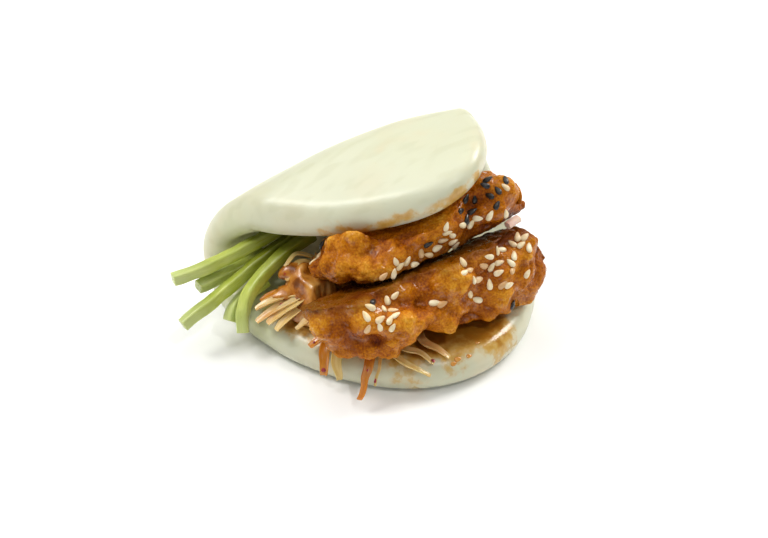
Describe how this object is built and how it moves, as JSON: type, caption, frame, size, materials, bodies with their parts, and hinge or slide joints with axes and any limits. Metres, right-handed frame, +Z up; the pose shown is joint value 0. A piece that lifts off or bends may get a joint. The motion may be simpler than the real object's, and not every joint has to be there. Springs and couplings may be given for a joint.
{
  "type": "chicken gua bao",
  "caption": "Folded steamed bun filled with glazed fried chicken, cucumber sticks and dressed slaw, strewn with sesame seeds.",
  "frame": {"origin": "on the table, under the middle of the bounding box", "axes": "+X along the fold from the cucumber end to the other, -Y out of the mouth, +Z up"},
  "size_m": [0.1052, 0.0703, 0.0565],
  "materials": {
    "dough": "smooth steamed dough with a faint sheen",
    "chicken": "crisp batter under a thin glaze",
    "cucumber": "cut and moist",
    "slaw": "coated with a creamy orange sauce",
    "radish": "cut and moist"
  },
  "bodies": {
    "root": {"bun": "dough", "chicken_lower": "chicken", "chicken_upper": "chicken", "cucumber_stick_1": "cucumber", "cucumber_stick_2": "cucumber", "cucumber_stick_3": "cucumber", "cucumber_stick_4": "cucumber", "cucumber_stick_5": "cucumber", "slaw": "slaw", "radish_chip": "radish"}
  },
  "joints": []
}
